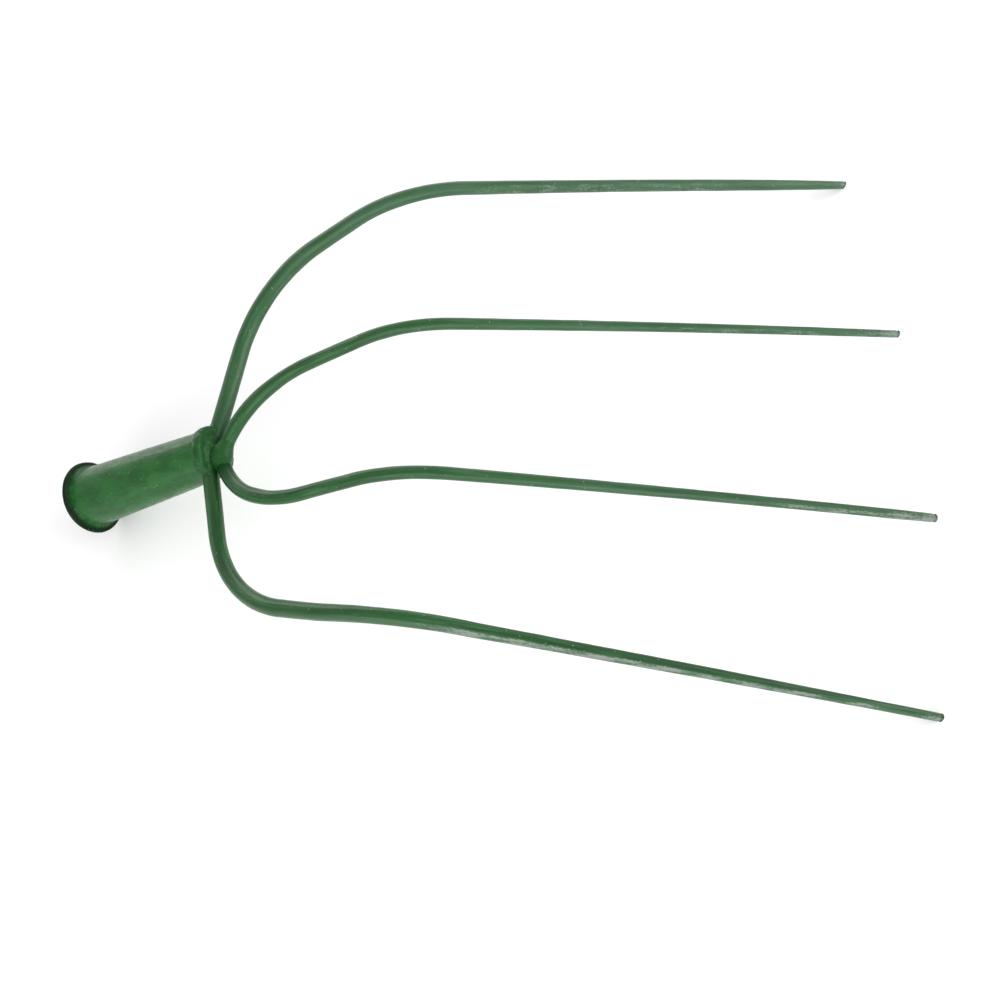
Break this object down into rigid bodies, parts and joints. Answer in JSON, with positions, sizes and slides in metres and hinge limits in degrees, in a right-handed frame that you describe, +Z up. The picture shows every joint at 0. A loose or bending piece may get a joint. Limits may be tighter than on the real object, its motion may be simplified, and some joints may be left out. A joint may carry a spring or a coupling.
{
  "type": "garden fork head",
  "caption": "Welded steel fork head with a tapered round handle socket and long tapered round-bar tines that spread, arch and point downwards.",
  "frame": {"origin": "on the ground, under the middle of the head's bounding box, with the head lying on the lip of its socket and the tips of its outer tines", "axes": "+X runs forward over the ground from the socket to the tips, +Y to the left tines, +Z up"},
  "size_m": [0.4884, 0.327, 0.1056],
  "materials": {
    "socket_paint": "satin green paint",
    "lip_paint": "satin dark green paint",
    "tine_paint": "satin green paint, worn at the tips",
    "weld_paint": "satin green paint over rough weld"
  },
  "bodies": {
    "root": {"socket_tube": "socket_paint", "mouth_lip": "lip_paint", "socket_end_plate": "socket_paint", "tine_outer_left": "tine_paint", "tine_inner_left": "tine_paint", "tine_inner_right": "tine_paint", "tine_outer_right": "tine_paint", "root_weld": "weld_paint", "rim_weld": "weld_paint", "bridge_weld_upper": "weld_paint", "bridge_weld_lower": "weld_paint"}
  },
  "joints": []
}
